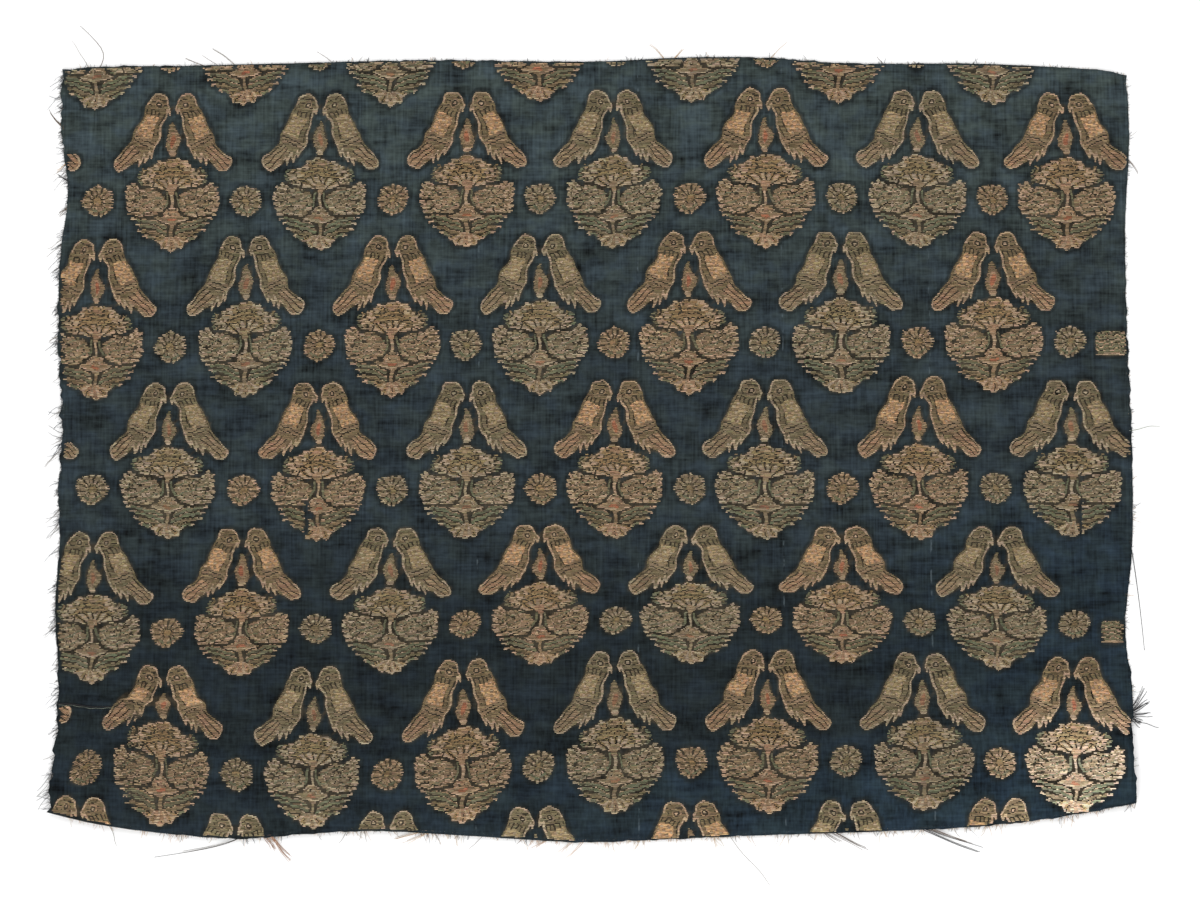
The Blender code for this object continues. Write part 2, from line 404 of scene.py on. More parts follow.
def limb(x, y, start, end):
    """Distance outside a tapered limb. Start and end are (x, y, radius)."""
    (x0, y0, r0), (x1, y1, r1) = start, end
    run_x, run_y = x1 - x0, y1 - y0
    share = np.clip(((x - x0) * run_x + (y - y0) * run_y) / (run_x**2 + run_y**2), 0.0, 1.0)
    away = np.hypot(x - x0 - share * run_x, y - y0 - share * run_y)
    return away - (r0 + (r1 - r0) * share)


def melt(first, second, soft):
    """Joins two shapes with a soft fillet."""
    mix = np.clip(0.5 + 0.5 * (second - first) / soft, 0.0, 1.0)
    return second + (first - second) * mix - soft * mix * (1.0 - mix)


def stripes(value, pitch, share):
    return np.mod(value, pitch) < pitch * share


def from_line(x, y, start, end):
    """Distance along and across a line."""
    run_x, run_y = end[0] - start[0], end[1] - start[1]
    long = math.hypot(run_x, run_y)
    along = ((x - start[0]) * run_x + (y - start[1]) * run_y) / long
    across = ((x - start[0]) * run_y - (y - start[1]) * run_x) / long
    return along, across


def uneven(x, y):
    """Small irregular steps, so that a drawn line breaks up as it does in old weaving."""
    return 0.15 * np.sin(1.3 * x + 1.5 * np.sin(0.9 * y)) + 0.10 * np.sin(2.1 * y + 0.9 * x)


def count_squares(*parts):
    """Prints how many squares of a trial chart each part fills with yarn."""
    y, x = np.mgrid[-10:86:0.8, -33:33:0.3]
    for part in parts:
        chart = np.zeros(x.shape, int)
        part(chart, x, y)
        print(part.__name__, "fills", int(np.sum((chart != NONE) & (chart != GAP))), "squares")


print("a circle 10 mm wide is below 0 at its middle:", ellipse(0, 0, 0, 0, 5, 5))


# %% The pair of birds
def birds(chart, x, y):
    side = np.abs(x)
    head = limb(side, y, (7.6, 5.3, 5.3), (8.8, 9.2, 5.4))
    torso = limb(side, y, (9.4, 10.8, 5.0), (14.2, 23.8, 7.3))
    tail = limb(side, y, (18.2, 28.8, 4.6), (27.0, 37.0, 4.2))
    body = melt(melt(head, torso, 2.4), tail, 2.6)
    whole = body
    beak = (((4.4, 6.0, 2.2), (2.3, 8.0, 1.2)), ((2.3, 8.0, 1.2), (1.9, 10.9, 0.4)))
    feathers = (((10.6, 28.0, 2.0), (11.8, 34.4, 0.3)), ((13.4, 30.0, 1.9), (14.8, 37.0, 0.3)),
                ((16.4, 31.5, 1.8), (18.0, 38.6, 0.3)))
    for start, end in beak + feathers:
        whole = np.minimum(whole, limb(side, y, start, end))
    chart[whole < 0] = OLIVE
    along, across = from_line(side, y, (9.4, 11.0), (15.2, 26.5))
    inside = body < -0.7
    belly = inside & (across < -2.6) & (y > 10)
    chart[belly & stripes(across + 0.10 * along, 2.1, 0.2)] = GAP
    wing = inside & (across > -3.0 + 0.05 * along) & (along > 1.6) & (along < 13.4 - 0.1 * across)
    chart[wing] = WING
    shift = 1.5 * np.mod(np.floor(along / 2.3), 2)
    scale = np.hypot(np.mod(along, 2.3) - 0.9, (np.mod(across + shift, 3.0) - 1.5) * 0.8)
    chart[wing & (scale < 0.75)] = WARM
    chart[wing & (scale + uneven(x * 2, y * 2) < 0.55)] = PALE
    chart[wing & (scale + 0.6 * uneven(x * 2, y * 2) > 1.38)] = GOLD
    chart[wing & (np.abs(across + 3.0 - 0.05 * along) < 0.3)] = GAP
    bars = inside & (along >= 13.4 - 0.1 * across) & (along < 18.0)
    chart[bars] = BEIGE
    chart[bars & stripes(along + 0.1 * across + uneven(x * 2, y), 2.1, 0.26)] = GAP
    collar = inside & (along > -1.4) & (along <= 1.6)
    chart[collar & stripes(across, 2.2, 0.34)] = GAP
    reach, off = from_line(side, y, (18.2, 28.8), (27.0, 37.0))
    plume = inside & (reach > 0.2) & (along > 17.0)
    chart[plume] = BEIGE
    chart[plume & (np.abs(off) < 2.6) & (reach > 1.5)] = WARM
    chart[plume & stripes(off + 4.3, 2.4, 0.24)] = GAP
    skull = (head < -0.7) & (along <= -1.4)
    chart[skull & stripes(y + 0.3 * side + 2 * uneven(x, y), 2.4, 0.2)] = GAP
    eye = np.hypot(side - 7.0, y - 6.2)
    chart[eye < 2.3] = BEIGE
    chart[eye < 1.5] = GAP
    chart[eye < 0.7] = PALE
    rim = (whole < 0) & (whole > -0.8)
    chart[rim] = OLIVE
    chart[rim & ((across < 1.0) | (along < -3) | (reach > 8.6))] = PALE


count_squares(birds)


# %% The bud between the birds
def bud(chart, x, y):
    side = np.abs(x)
    wide = np.interp(y, [14.5, 17.5, 21, 24.5, 28, 31, 33], [0.2, 0.8, 2.0, 3.4, 3.0, 1.4, 0.5])
    leaf = (side < wide + 0.7 * np.mod(y, 1.9) / 1.9) & (y > 14.8) & (y < 33.0)
    chart[leaf] = BEIGE
    chart[leaf & ((y < 18.0) | stripes(y - 0.6 * side, 1.9, 0.3))] = OLIVE
    chart[ellipse(x, y, 0, 24.6, 1.7, 4.2) < 0] = WARM
    chart[ellipse(x, y, 0, 25.0, 1.1, 3.0) < 0] = RUST
    chart[(side < 1.9 - 0.8 * np.abs(y - 31.8)) & (y > 30.6) & (y < 33.2)] = PALE


count_squares(bud)


# %% The shrub: its crown of petals
def layered(chart, inside, value, base, x, y):
    """Paints layers of petals: a dark line, a pale rim and the base yarn come back at every 1."""
    part = np.mod(value + uneven(x, y), 1.0)
    chart[inside] = base
    chart[inside & (part < 0.50)] = PALE
    chart[inside & (part < 0.22)] = OLIVE
    chart[inside & (part < 0.22) & (uneven(y * 1.7, x * 1.7) > -0.06)] = GAP


def crown(chart, x, y):
    side = np.abs(x)
    rho = np.hypot(x, 52.5 - y)
    phi = np.arctan2(x, 52.5 - y)
    petal = np.abs(np.sin(phi * 6.5 + uneven(x, y)))
    fan = (ellipse(x, y, 0, 44.6, 19.0, 9.0) < 0) & (y < 51.8 - 0.22 * side) & (y > 39.4)
    fan &= side < 19.4 - 1.3 * np.mod(y, 1.9)
    chart[fan] = GOLD
    chart[fan & (petal > 0.72)] = PALE
    chart[fan & (petal * rho < 2.2)] = GAP
    chart[fan & (petal * rho < 3.3) & (petal * rho > 2.2) & (rho > 9)] = OLIVE
    chart[fan & (side > 15.5)] = SAGE
    chart[fan & (side > 14.0) & stripes(y - 0.25 * side, 2.4, 0.25)] = GAP
    chart[fan & (np.abs(rho - 11.8 + 1.1 * petal) < 0.45)] = GAP
    chart[fan & (rho < 4.6) & (side < 2.4)] = WARM
    for middle_y, wide, high, count in ((44.2, 17.2, 5.4, 7.5), (41.6, 14.0, 5.2, 6.5),
                                        (39.0, 10.0, 4.4, 5.5), (37.0, 5.2, 2.6, 3.5)):
        turn = np.arctan2(x / wide, (middle_y - y) / high)
        lobe = np.abs(np.cos(turn * count))
        tier = ellipse(x, y, 0, middle_y, wide, high) + 0.16 * lobe**2 + 0.25 * uneven(x, y)
        hem = middle_y - 0.6 + 0.030 * side**2 * 15 / wide + 0.5 * lobe
        seam = (tier < 0.10) & (y < hem + 0.7) & (chart != NONE)
        chart[seam] = OLIVE
        chart[seam & (uneven(x * 2, y) > -0.02)] = GAP
        inside = (tier < 0) & (y < hem)
        chart[inside] = GOLD
        chart[inside & (tier > -0.22)] = PALE
        chart[inside & (tier < -0.1) & (lobe > 0.96)] = GAP
    chart[ellipse(x, y, 0, 37.4, 2.6, 1.2) < 0] = WARM


count_squares(crown)


# %% The shrub: its two side leaves
def side_leaves(chart, x, y):
    side = np.abs(x)
    tips = (((17.5, 53.0, 2.6), (20.8, 48.4, 0.8)), ((19.0, 53.5, 2.4), (23.2, 49.6, 0.8)),
            ((19.0, 56.0, 2.4), (23.8, 52.4, 0.8)), ((19.0, 58.5, 2.4), (24.0, 55.2, 0.7)),
            ((19.0, 60.5, 2.2), (24.0, 58.4, 0.7)), ((18.0, 62.4, 1.9), (23.4, 61.4, 0.6)),
            ((16.0, 63.6, 1.6), (22.4, 64.2, 0.6)))
    for leaf_start, leaf_end in tips:
        leaf = limb(side, y, leaf_start, leaf_end) + 0.6 * uneven(x, y) + 0.25 * np.sin(3.9 * y)
        chart[leaf < 0.35] = GAP
        chart[leaf < 0] = BEIGE
        chart[(leaf < 0) & (leaf > -0.8)] = PALE
        chart[(leaf < -0.8) & stripes(side + y, 3.4, 0.4)] = OLIVE
    rag = 0.05 * np.sin(y * 3.3) + 0.04 * np.sin(y * 1.7 + 1.0)
    reach = np.hypot((side - 12.4) / 8.9, (y - 58.0) / 7.3) + rag
    turn = np.arctan2(y - 58.0, side - 12.4)
    whole = reach < 1
    lobes = 0.36 * np.abs(np.sin(turn * 4.5 + 0.4))
    layered(chart, whole, reach * 2.2 + lobes + turn / 6.283, BEIGE, x, y)
    chart[whole & (side > 13) & (np.abs(np.cos(turn * 4.5 + 0.4)) > 0.98) & (reach > 0.5)] = GAP
    chart[whole & stripes(x * 0.35 + y * 0.9, 4.3, 0.12)] = SAGE


count_squares(side_leaves)


# %% The shrub: its stem and its blossom
def stem(chart, x, y):
    side = np.abs(x)
    arm = np.interp(y, [51, 57, 60, 63.5], [1.0, 1.3, 2.2, 4.6])
    chart[(side < arm + 0.35) & (y > 51.8) & (y < 63.0)] = NONE
    chart[(np.abs(side - arm - 1.2) < 0.5) & (y > 52.5) & (y < 61)] = SAGE
    stalk = side < np.interp(y, [50, 52, 54, 61], [2.0, 1.1, 0.7, 0.6])
    chart[stalk & (y > 50) & (y < 61.5)] = PALE
    chart[(side < 1.3) & (y > 50) & (y < 53.5)] = WARM


def blossom(chart, x, y):
    side = np.abs(x)
    wide = np.interp(y, [60.6, 61.6, 63.2, 65.0, 66.4, 67.8, 69.8], [1.2, 3.0, 4.4, 5.0, 9.4, 7.0, 1.6])
    body = (side < wide) & (y > 60.6) & (y < 69.8)
    chart[body] = BEIGE
    reach = np.hypot(x / 6.4, (y - 66.0) / 6.2)
    turn = np.arctan2(x, 66.0 - y)
    layered(chart, body & (y < 65.4), reach * 2.6 + 0.3 * np.abs(np.cos(turn * 3.5)), WARM, x, y)
    chart[ellipse(x, y, 0, 66.8, 2.4, 0.9) < 0] = RUST
    smile = y - 68.6 + 0.032 * side**2
    chart[body & (np.abs(smile) < 0.5) & (side < 8)] = PALE
    chart[body & (np.abs(smile - 0.9) < 0.4) & (side > 2)] = NONE


count_squares(stem, blossom)


# %% The shrub: its lower leaves and its foot
def low_leaves(chart, x, y):
    side = np.abs(x)
    level = y - 0.014 * (side - 9) ** 2 + 0.35 * uneven(x, y)
    fronds = (((4.0, 70.6), (20.8, 64.6), SAGE), ((2.2, 73.8), (19.0, 67.8), SAGE),
              ((2.2, 76.6), (17.4, 71.4), OLIVE), ((4.5, 78.4), (14.4, 75.0), SAGE))
    for root, tip, yarn in fronds:
        leaf = limb(side, level, (*root, 1.3), (*tip, 0.4)) + 0.25 * np.sin(1.9 * side + tip[1])
        _, across = from_line(side, level, root, tip)
        chart[leaf < 0.6] = NONE
        chart[leaf < 0.1] = yarn
        chart[(leaf < 0.1) & (across > 0.5)] = BEIGE
        chart[(leaf < 0.1) & ((across > 1.0) | (side > tip[0] - 2.0))] = PALE
    chart[(np.abs(side - 1.6) < 0.45) & (y > 70.6) & (y < 75.5)] = NONE
    chart[(side < 0.8) & (y > 69.5) & (y < 77.0)] = BEIGE


def foot(chart, x, y):
    side = np.abs(x)
    rho = np.hypot(x, y - 73.8)
    turn = np.arctan2(x, y - 73.8)
    body = (rho < 9.4 + 0.7 * np.cos(turn * 11)) & (y > 76.0 + 0.10 * side)
    ray = np.abs(np.sin(turn * 5.5 + 0.6 * uneven(x, y)))
    chart[body] = WARM
    chart[body & (side > 3.5)] = GOLD
    chart[body & ((ray > 0.80) | (rho > 8.6))] = PALE
    chart[body & (ray * rho < 1.2) & (rho > 5)] = GAP


count_squares(low_leaves, foot)


# %% The small rosette, and the cut ends of motifs at the right edge
def rosette(chart, x, y):
    side = np.abs(x)
    wide = 7.7 - 0.26 * np.maximum(y - 1.5, 0.0)
    rho = np.hypot(x / wide, (y - 0.2) / 8.5)
    phi = np.arctan2(x / wide, (0.2 - y) / 8.5)
    ray = np.abs(np.cos(phi * 6.5 + 2.0 * uneven(x, y)))
    ragged = 0.13 * stripes(y + 0.2 * np.sign(x), 1.4, 0.5) * (side > 4.5)
    body = rho < 0.88 + 0.10 * ray + ragged
    chart[body] = OLIVE
    chart[body & (ray > 0.55) & (rho > 0.3)] = BEIGE
    chart[body & (ray < 0.36) & (rho > 0.40) & (rho < 0.86)] = GAP
    chart[body & (ray > 0.70) & (rho > 0.86)] = PALE
    chart[body & (ray > 0.75) & (np.abs(rho - 0.5) < 0.07)] = PALE
    chart[body & (y > 3.5) & (np.abs(rho - 0.66) < 0.07)] = SAGE
    chart[(rho < 0.22) & (ray > 0.3)] = GOLD
    chart[(np.abs(rho - 0.29) < 0.06) & (ray < 0.7)] = GAP
    chart[(side < 0.6) & (y > 1.0) & (y < 6.0)] = BEIGE


def cut_block(chart, x, y):
    body = (np.abs(y) < 6.6) & (x > -9.8 + 0.7 * np.sin(y * 2.1))
    layered(chart, body, y / 2.4 + 0.25 * np.sin(x * 1.1), SAGE, x, y)
    chart[body & (y > 4.9)] = PALE


def tail_tips(chart, x, y):
    birds(chart, x, y)
    chart[y < 32.0] = NONE


def unit(chart, x, y):
    for part in (birds, bud, side_leaves, low_leaves, crown, stem, blossom, foot):
        part(chart, x, y)


count_squares(rosette, cut_block, tail_tips, unit)


# %% [markdown]
# ## From the chart to floats
# In the cloth each square run of one yarn is a float: a short stretch of loose silk that lies
# on the ground and dips under a warp thread at both ends. A long run is tied down every few
# millimetres. So each row of the chart is cut where the yarn changes and again where it is too
# long, with the cuts shifted from row to row as in bricks. Squares without a yarn stay open,
# and the ground shows there as a dark line.

# %% Cut a chart into floats
PICK = 0.7
SQUARE = 0.3
FLOAT_LONG = 2.7
WOBBLE_WIDE, WOBBLE_HIGH = 0.42, 0.36


def chart_of(part, box, phase):
    """Paints a part on squared paper, warped a little because hand weaving is uneven. A square
    on its own takes its neighbour's yarn, because no float is that short."""
    left, right, top, bottom = box
    x, y = np.meshgrid(np.arange(left, right, SQUARE), np.arange(top, bottom, PICK))
    warped_x = x + WOBBLE_WIDE * (np.sin(0.55 * y + phase) + 0.6 * np.sin(0.9 * x + 2 * phase))
    warped_y = y + WOBBLE_HIGH * (np.sin(0.45 * x + 1.3 * phase) + 0.6 * np.sin(1.1 * x + phase))
    chart = np.zeros(x.shape, int)
    part(chart, warped_x, warped_y)
    before, here, after = chart[:, :-2].copy(), chart[:, 1:-1], chart[:, 2:]
    alone = (here != before) & (here != after)
    here[alone] = before[alone]
    return chart


def floats_of(chart, box):
    """Rows of (from x, to x, y, yarn)."""
    found = []
    for pick, line in enumerate(chart):
        cuts = [0, *(np.flatnonzero(np.diff(line)) + 1), len(line)]
        for start, end in zip(cuts, cuts[1:]):
            if line[start] in (NONE, GAP):
                continue
            pieces = max(1, round((end - start) * SQUARE / FLOAT_LONG))
            marks = np.linspace(start, end, pieces + 1)
            marks[1:-1] += draw.uniform(-0.35, 0.35) * (end - start) / pieces
            for first, last in zip(marks, marks[1:]):
                found.append((box[0] + first * SQUARE, box[0] + last * SQUARE,
                              box[2] + pick * PICK, line[start]))
    return np.array(found)


trial_box = (-10, 10, -10, 10)
trial = floats_of(chart_of(rosette, trial_box, 0.0), trial_box)
print("a rosette is", len(trial), "floats")


# %% Lay every motif of a row on the cloth
UNIT_BOX = (-33.0, 33.0, -1.2, 86.0)
ROSETTE_BOX = (-9.6, 9.6, -10.0, 10.0)
CUT_BLOCK_BOX = (-10.0, 12.0, -6.3, 6.3)
EDGE_CLEAR = 0.8
SLITS = ((-152.0, -44.2, -26.0), (249.0, -44.2, -26.0))


def motifs(row):
    """(part, box, middle along x, way down to it, width, tint) of each motif in a row."""
    middles, _, _, tints = ROWS[row]
    listed = []
    for middle, width, tint in zip(middles, WIDTHS, tints):
        listed.append((unit, UNIT_BOX, middle, 0.0, width, tint))
    ends = [2 * middles[0] - middles[1], *middles, 2 * middles[-1] - middles[-2]]
    for first, second, tint in zip(ends, ends[1:], tints + "g"):
        listed.append((rosette, ROSETTE_BOX, (first + second) / 2, ROSETTE_DOWN, 1.0, tint))
    if row in CUT_BLOCKS:
        middle, down = CUT_BLOCKS[row]
        listed.append((cut_block, CUT_BLOCK_BOX, middle, down, 1.0, "o"))
    if row in CUT_PAIRS:
        listed.append((tail_tips, UNIT_BOX, *CUT_PAIRS[row], 1.0, tints[0]))
    return listed


def on_cloth(x, y, clear):
    within = (x < outline("right", y) - clear) & (x > clear - outline("left", y))
    return within & (y < outline("top", x) - clear) & (y > clear - outline("bottom", x))


def lay_row(row):
    """The row's floats as arrays: from x, to x, y at the middle, row, way down, yarn and tint."""
    laid = []
    for part, box, middle, down, width, tint in motifs(row):
        phase = draw.uniform(0, 6.28)
        found = floats_of(chart_of(part, box, phase), box)
        x0, x1 = middle + width * found[:, 0], middle + width * found[:, 1]
        way = down + found[:, 2]
        laid.append(np.column_stack([x0, x1, way, found[:, 3], np.full(len(way), tint == "o")]))
    laid = np.vstack(laid)
    y = weft_line(row, (laid[:, 0] + laid[:, 1]) / 2, laid[:, 2])
    kept = on_cloth(laid[:, 0], y, EDGE_CLEAR) & on_cloth(laid[:, 1], y, EDGE_CLEAR)
    for slit_x, low, high in SLITS:
        crosses = (laid[:, 0] < slit_x + 0.5) & (laid[:, 1] > slit_x - 0.5) & (y > low) & (y < high)
        kept &= ~crosses
    return laid[kept]


floats = [lay_row(row) for row in range(len(ROWS))]
print("floats in each row:", [len(row) for row in floats])

# %% [markdown]
# The brocaded places are thicker than the bare ground, and the ground shows browner between
# their floats and darker round each motif, where a painted shadow is laid. A coarse map of how
# much of the cloth the floats cover gives both: it lifts the cloth a little there, and later
# tints it and lays the painted shadow.

# %% Map of the covered places, and the height of the cloth
CELL = 1.0
MAP_WIDE, MAP_HIGH = 300.0, 230.0
EMBOSS = 0.22
SHARES_OF_FLOAT = (0.15, 0.5, 0.85)
COVER_GAIN = 1.5


def blurred(field, reach):
    window = np.ones(2 * reach + 1) / (2 * reach + 1)
    for _ in range(2):
        field = np.apply_along_axis(np.convolve, 0, field, window, "same")
        field = np.apply_along_axis(np.convolve, 1, field, window, "same")
    return field


def cover_map():
    cells = np.zeros((int(2 * MAP_WIDE / CELL) + 1, int(2 * MAP_HIGH / CELL) + 1))
    for row, laid in enumerate(floats):
        for share in SHARES_OF_FLOAT:
            x = laid[:, 0] + share * (laid[:, 1] - laid[:, 0])
            y = weft_line(row, x, laid[:, 2])
            i = np.rint((x + MAP_WIDE) / CELL).astype(int)
            j = np.rint((y + MAP_HIGH) / CELL).astype(int)
            np.add.at(cells, (i, j), (laid[:, 1] - laid[:, 0]) * PICK / 3)
    return np.minimum(blurred(cells, 1) / CELL**2 * COVER_GAIN, 1.0)


covered = cover_map()


def cover(x, y):
    """The map's value there, from 0 to 1, read between its cells."""
    across = np.clip((x + MAP_WIDE) / CELL, 0, covered.shape[0] - 1.001)
    up = np.clip((y + MAP_HIGH) / CELL, 0, covered.shape[1] - 1.001)
    i, j = across.astype(int), up.astype(int)
    s, t = across - i, up - j
    low = covered[i, j] * (1 - s) + covered[i + 1, j] * s
    high = covered[i, j + 1] * (1 - s) + covered[i + 1, j + 1] * s
    return low * (1 - t) + high * t


def underside(x, y):
    return ridges(FOLDS, x, y) + ridges(CREASES, x, y) + puckers(x, y)


def top_side(x, y):
    return underside(x, y) + CLOTH_THICK + EMBOSS * cover(x, y)


print("cloth under the floats:", round(float(covered.mean()), 3))


# %% [markdown]
# ## The ground cloth
# It starts as a flat grid, and each of its points is moved to its place on the cut outline and
# up onto the folds. The tear at the left edge is a row of faces taken out between two lips.
# Solidify then gives the silk its thickness, so that it is closed all round.

# %% Grid, shaped to the outline and the folds
GRID = (208, 148)
TEAR = {"end": -243.0, "left_y": -131.0, "right_y": -133.6, "open": 0.1, "ease": 18}


def tear_line(x):
    """How far up the cloth the tear runs."""
    straight = np.interp(x, [LEFT_END, TEAR["end"]], [TEAR["left_y"], TEAR["right_y"]])
    return straight + 0.4 * np.sin(x / 3.7)


def nothing_selected():
    bpy.ops.object.select_all(action="DESELECT")


def edit_faces(piece, wanted):
    """Opens a piece for editing with only the wanted faces selected, and says how many."""
    nothing_selected()
    piece.select_set(True)
    bpy.context.view_layer.objects.active = piece
    bpy.ops.object.mode_set(mode="EDIT")
    bpy.ops.mesh.select_mode(type="FACE")
    bpy.ops.mesh.select_all(action="DESELECT")
    bpy.ops.object.mode_set(mode="OBJECT")
    chosen = [face for face in piece.data.polygons if wanted(face)]
    for face in chosen:
        face.select = True
    bpy.ops.object.mode_set(mode="EDIT")
    return len(chosen)


nothing_selected()
bpy.ops.mesh.primitive_grid_add(x_subdivisions=GRID[0], y_subdivisions=GRID[1], size=1.0)
ground = bpy.context.object
ground.name = "ground_cloth"
points = np.empty(len(ground.data.vertices) * 3)
ground.data.vertices.foreach_get("co", points)
across, up = (points.reshape(-1, 3)[:, :2] + 0.5).T
column = LEFT_END + across * (RIGHT_END - LEFT_END)
level = LOW_END + up * (TOP_END - LOW_END)
x = across * (outline("right", level) + ragged("right", level)) - (1 - across) * (
    outline("left", level) + ragged("left", level)
)
y = up * (outline("top", column) + ragged("top", column)) - (1 - up) * (
    outline("bottom", column) + ragged("bottom", column)
)
print("ground points:", len(x))

# %% Draw two rows of points to the lips of the tear
row_of = np.rint(up * GRID[1]).astype(int)
left_side = across < 0.5 / GRID[0]
lower = int(row_of[left_side][np.argmin(np.abs(y[left_side] - TEAR["left_y"]))])
pull = np.clip((TEAR["end"] + TEAR["ease"] - x) / TEAR["ease"], 0.0, 1.0)
opening = TEAR["open"] / 2 * np.clip((TEAR["end"] - x) / 12, 0.05, 1.0)
for step, side_of in ((0, -1), (1, 1)):
    lip = row_of == lower + step
    y[lip] += (pull * (tear_line(x) + side_of * opening - y))[lip]
z = underside(x, y) + EMBOSS * cover(x, y)
points = np.column_stack([x, y, z]) * MM
ground.data.vertices.foreach_set("co", points.ravel())
under = ground.data.attributes.new("under", "FLOAT", "POINT")
under.data.foreach_set("value", cover(x, y))
ground.data.update()
print("highest point of the grid:", round(float(z.max()), 2), "mm")

# %% Take out the faces between the lips, and give the silk its thickness
def in_tear(face):
    rows_of_face = row_of[list(face.vertices)]
    between = rows_of_face.min() == lower and rows_of_face.max() == lower + 1
    return between and face.center.x < TEAR["end"] * MM


torn = edit_faces(ground, in_tear)
bpy.ops.mesh.delete(type="FACE")
bpy.ops.object.mode_set(mode="OBJECT")
thickness = ground.modifiers.new("thickness", "SOLIDIFY")
thickness.thickness = CLOTH_THICK * MM
thickness.offset = 1.0
bpy.ops.object.modifier_apply(modifier=thickness.name)
bpy.ops.object.shade_smooth()
print("faces taken out of the tear:", torn, "faces now:", len(ground.data.polygons))

# %% [markdown]
# The ground's colour is dark navy. Painted light makes it paler and greyer at the top, painted
# shade makes a darker band across the lower middle, and a painted sheen makes it bluer at the
# bottom and the lower right. Fine weft ribs and paler warp threads cross it. Where floats cover
# it, the brown silk that binds them shows through, and a painted shadow runs round each motif
# as a dark edge.

# %% Finish of the ground
NAVY_TOP_PAINTED_LIGHT = linear(50, 59, 61)
NAVY_MIDDLE = linear(38, 46, 50)
NAVY_PAINTED_SHADE = linear(27, 34, 38)
NAVY_PAINTED_SHEEN = linear(30, 42, 51)
PAINTED_SHADOW_RIM = linear(27, 32, 32)
BINDING = linear(50, 45, 36)
PALE_WARP = linear(96, 108, 114)
BLUER, GREENER = (0.96, 0.99, 1.05), (1.03, 1.02, 0.92)
WARP_LINES = (-63.4, 19.8, 95.2, 171.6)

silk = Finish("navy_silk_ground", Roughness=0.7, Specular_IOR_Level=0.06)
axis = silk.axes()
mottle = silk.streaks(0.06, 0.035)
blotch = silk.streaks(0.02, 0.012)
height_on_cloth = axis["Y"] + (mottle - 0.5) * 0.05
# Painted light makes the top paler and greyer, and painted shade darkens a band across the lower middle.
colour = silk.mix(silk.range(height_on_cloth, 0.02, 0.19), (*NAVY_MIDDLE, 1), (*NAVY_TOP_PAINTED_LIGHT, 1))
painted_shade_band = silk.range(height_on_cloth, -0.03, -0.09)
colour = silk.mix(painted_shade_band, colour, (*NAVY_PAINTED_SHADE, 1))
# A painted sheen makes the bottom bluer, stronger towards the right, and the lower right as well.
low = silk.range(height_on_cloth, -0.14, -0.18) * silk.range(axis["X"], -0.20, 0.26, 0.15, 1.0)
colour = silk.mix(low, colour, (*NAVY_PAINTED_SHEEN, 1))
painted_sheen_right = silk.range(axis["X"], 0.10, 0.24) * silk.range(height_on_cloth, 0.0, -0.06)
colour = silk.mix(painted_sheen_right * 0.6, colour, (*NAVY_PAINTED_SHEEN, 1))

hue = silk.range(silk.streaks(0.014, 0.011, 3.0), 0.38, 0.62)
cast = silk.mix(hue, (*BLUER, 1), (*GREENER, 1))
colour = silk.mix(1.0, colour, cast, "MULTIPLY")
weft_rib = silk.streaks(0.012, 0.0011, 3.0)
warp_line = silk.streaks(0.0011, 0.02, 3.0)
band = silk.streaks(0.035, 0.0032, 2.0)
shade = 1.0 + (weft_rib - 0.5) * 1.1 + (warp_line - 0.5) * 1.5
grain = silk.streaks(0.0035, 0.0025, 2.0)
shade = shade + (blotch - 0.5) * 2.0 + (band - 0.5) * 1.0 + (grain - 0.5) * 1.0
covering = silk.own_value("under", "Fac")
# A painted shadow: a dark rim on the ground round the edge of each motif.
edge = silk.range(covering, 0.02, 0.25) * silk.range(covering, 0.75, 0.35)
colour = silk.mix(edge * 0.65, colour, (*PAINTED_SHADOW_RIM, 1))
colour = silk.mix(silk.range(covering, 0.3, 0.8), colour, (*BINDING, 1))
colour = silk.shaded(colour, shade)
faint = silk.streaks(0.003, 0.006, 3.0)
for line_x in WARP_LINES:
    close = silk.range((axis["X"] - line_x * MM + (mottle - 0.5) * 0.002).math("ABSOLUTE"), 0.0007, 0.0)
    share = close * silk.range(faint, 0.5, 0.65) * silk.range(covering, 0.3, 0.1) * 0.4
    colour = silk.mix(share, colour, (*PALE_WARP, 1))
relief = weft_rib * 0.6 + warp_line * 0.4
ripple = silk.streaks(0.03, 0.0045, 1.0)
normal = silk.bump(relief + ripple * 1.6, 0.0004, 0.8)
silk.connect(Base_Color=colour, Normal=normal)
ground.data.materials.append(silk.material)
print("nodes in the ground's finish:", len(silk.tree.nodes))

# %% [markdown]
# ## One float, and its thousands of copies
# A float is a cushion of silk a few millimetres long. It is modelled once from a cube: the top
# is drawn in to a ridge. Thousands of copies are then joined into one mesh for each row of the
# pattern, each stretched to its float's length, set on the cloth's folds and given its own
# yarn's colour as an attribute. One face more on it would be many thousands in the cloth.

# %% Model one float
RIDGE_SHARE = 0.72

nothing_selected()
bpy.ops.mesh.primitive_cube_add(size=1.0)
pattern_float = bpy.context.object
edit_faces(pattern_float, lambda face: face.normal.z > 0.9)
bpy.ops.transform.resize(value=(RIDGE_SHARE, 0.0, 1.0))
bpy.ops.mesh.remove_doubles(threshold=0.001)
bpy.ops.object.mode_set(mode="OBJECT")
bpy.ops.mesh.customdata_custom_splitnormals_clear()
float_points = np.array([vertex.co for vertex in pattern_float.data.vertices])
float_faces = [list(face.vertices) for face in pattern_float.data.polygons]
bpy.data.objects.remove(pattern_float)
print("one float:", len(float_points), "points,", len(float_faces), "faces")

